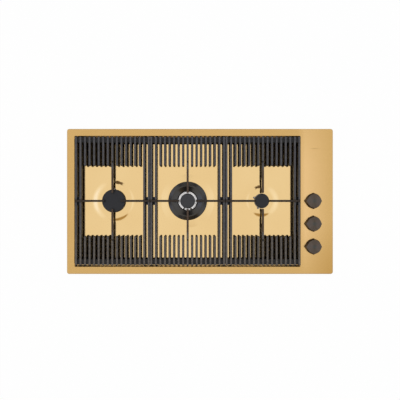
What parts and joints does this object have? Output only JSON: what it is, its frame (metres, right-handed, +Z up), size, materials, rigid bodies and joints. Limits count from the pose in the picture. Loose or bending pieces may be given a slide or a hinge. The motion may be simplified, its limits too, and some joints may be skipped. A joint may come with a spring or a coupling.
{
  "type": "gas cooktop",
  "caption": "Built-in gas cooktop with a gold steel panel, recessed floor, cast-iron comb grates, round burners and control knobs on the right.",
  "frame": {"origin": "under the middle of the panel's outline, at the bottom of the base tray", "axes": "+X along the panel to the control strip on the right, +Y to the rear, +Z up"},
  "size_m": [0.935, 0.51, 0.09],
  "materials": {
    "gold_panel": "brushed steel sheet with a gold vapour coating",
    "gold_tray": "smooth pressed steel with a gold vapour coating",
    "black_iron": "matt black enamelled cast iron",
    "black_enamel": "satin black enamelled cap",
    "crown_aluminium": "die-cast, bead-blasted",
    "cast_aluminium": "die-cast",
    "zinc_steel": "galvanised sheet",
    "screw_steel": "bright steel",
    "brass_fitting": "machined brass",
    "pipe_aluminium": "drawn tube",
    "foam_rubber": "closed-cell seal strip",
    "foot_rubber": "moulded rubber",
    "seal_rubber": "moulded rubber",
    "gasket_fibre": "pressed fibre",
    "dark_plastic": "moulded",
    "pale_plastic": "moulded",
    "lead_sheath": "sheathed wire",
    "lead_metal": "copper capillary lead",
    "lead_silicone": "silicone-sheathed high-voltage wire",
    "white_ceramic": "glazed ceramic",
    "dark_knob": "turned metal, dark satin coat"
  },
  "bodies": {
    "cooktop": {"top_panel": "gold_panel", "burner_tray": "gold_tray", "worktop_seal": "foam_rubber", "base_tray": "zinc_steel", "fixing_brackets": "zinc_steel", "base_screws": "screw_steel", "worktop_clamps": "zinc_steel", "clamp_screws": "screw_steel", "gas_manifold": "zinc_steel", "gas_inlet": "brass_fitting", "tap_bodies": "cast_aluminium", "tap_bonnets": "zinc_steel", "tap_rail": "zinc_steel", "tap_screws": "screw_steel", "magnet_units": "brass_fitting", "knob_seals": "seal_rubber", "ignition_switches": "dark_plastic", "switch_harness": "lead_sheath", "ignition_module": "dark_plastic", "terminal_block": "pale_plastic", "mains_leads": "lead_sheath", "cable_entry": "dark_plastic", "feed_pipes": "pipe_aluminium", "pipe_nuts": "brass_fitting", "left_cup": "cast_aluminium", "wok_cup": "cast_aluminium", "right_cup": "cast_aluminium", "burner_gaskets": "gasket_fibre", "burner_screws": "screw_steel", "injectors": "brass_fitting", "spark_insulators": "white_ceramic", "spark_pins": "screw_steel", "thermocouples": "screw_steel", "thermocouple_leads": "lead_metal", "ignition_leads": "lead_silicone"},
    "left_grate_set": {"left_grate": "black_iron", "left_grate_feet": "foot_rubber"},
    "centre_grate_set": {"centre_grate": "black_iron", "centre_grate_feet": "foot_rubber"},
    "right_grate_set": {"right_grate": "black_iron", "right_grate_feet": "foot_rubber"},
    "left_crown_body": {"left_crown": "crown_aluminium"},
    "left_cap_body": {"left_cap": "black_enamel"},
    "wok_crown_body": {"wok_crown": "crown_aluminium"},
    "wok_ring_cap_body": {"wok_ring_cap": "black_enamel"},
    "wok_centre_cap_body": {"wok_centre_cap": "black_enamel"},
    "right_crown_body": {"right_crown": "crown_aluminium"},
    "right_cap_body": {"right_cap": "black_enamel"},
    "rear_plug_body": {"rear_tap_plug": "brass_fitting", "rear_spring": "screw_steel"},
    "rear_knob_body": {"rear_knob": "dark_knob", "rear_spindle": "screw_steel"},
    "middle_plug_body": {"middle_tap_plug": "brass_fitting", "middle_spring": "screw_steel"},
    "middle_knob_body": {"middle_knob": "dark_knob", "middle_spindle": "screw_steel"},
    "front_plug_body": {"front_tap_plug": "brass_fitting", "front_spring": "screw_steel"},
    "front_knob_body": {"front_knob": "dark_knob", "front_spindle": "screw_steel"}
  },
  "joints": [
    {"name": "left_grate_lift", "type": "slide", "parent": "cooktop", "child": "left_grate_set", "axis": [0, 0, 1], "range_m": [0, 0.12]},
    {"name": "centre_grate_lift", "type": "slide", "parent": "cooktop", "child": "centre_grate_set", "axis": [0, 0, 1], "range_m": [0, 0.12]},
    {"name": "right_grate_lift", "type": "slide", "parent": "cooktop", "child": "right_grate_set", "axis": [0, 0, 1], "range_m": [0, 0.12]},
    {"name": "left_crown_lift", "type": "slide", "parent": "cooktop", "child": "left_crown_body", "axis": [0, 0, 1], "range_m": [0, 0.002]},
    {"name": "left_cap_lift", "type": "slide", "parent": "left_crown_body", "child": "left_cap_body", "axis": [0, 0, 1], "range_m": [0, 0.002]},
    {"name": "wok_crown_lift", "type": "slide", "parent": "cooktop", "child": "wok_crown_body", "axis": [0, 0, 1], "range_m": [0, 0.002]},
    {"name": "wok_ring_cap_lift", "type": "slide", "parent": "wok_crown_body", "child": "wok_ring_cap_body", "axis": [0, 0, 1], "range_m": [0, 0.002]},
    {"name": "wok_centre_cap_lift", "type": "slide", "parent": "wok_crown_body", "child": "wok_centre_cap_body", "axis": [0, 0, 1], "range_m": [0, 0.06]},
    {"name": "right_crown_lift", "type": "slide", "parent": "cooktop", "child": "right_crown_body", "axis": [0, 0, 1], "range_m": [0, 0.06]},
    {"name": "right_cap_lift", "type": "slide", "parent": "right_crown_body", "child": "right_cap_body", "axis": [0, 0, 1], "range_m": [0, 0.06]},
    {"name": "rear_tap_turn", "type": "hinge", "parent": "cooktop", "child": "rear_plug_body", "pos_m": [0.3985, 0.0019, 0], "axis": [0, 0, 1], "range_deg": [0, 210]},
    {"name": "rear_knob_push", "type": "slide", "parent": "rear_plug_body", "child": "rear_knob_body", "axis": [0, 0, 1], "range_m": [-0.0035, 0], "stiffness_N_per_m": 1500, "springref_m": 0.004, "deforming": ["rear_spring"]},
    {"name": "middle_tap_turn", "type": "hinge", "parent": "cooktop", "child": "middle_plug_body", "pos_m": [0.3985, -0.0781, 0], "axis": [0, 0, 1], "range_deg": [0, 210]},
    {"name": "middle_knob_push", "type": "slide", "parent": "middle_plug_body", "child": "middle_knob_body", "axis": [0, 0, 1], "range_m": [-0.0035, 0], "stiffness_N_per_m": 1500, "springref_m": 0.004, "deforming": ["middle_spring"]},
    {"name": "front_tap_turn", "type": "hinge", "parent": "cooktop", "child": "front_plug_body", "pos_m": [0.3985, -0.1581, 0], "axis": [0, 0, 1], "range_deg": [0, 210]},
    {"name": "front_knob_push", "type": "slide", "parent": "front_plug_body", "child": "front_knob_body", "axis": [0, 0, 1], "range_m": [-0.0035, 0], "stiffness_N_per_m": 1500, "springref_m": 0.004, "deforming": ["front_spring"]}
  ]
}
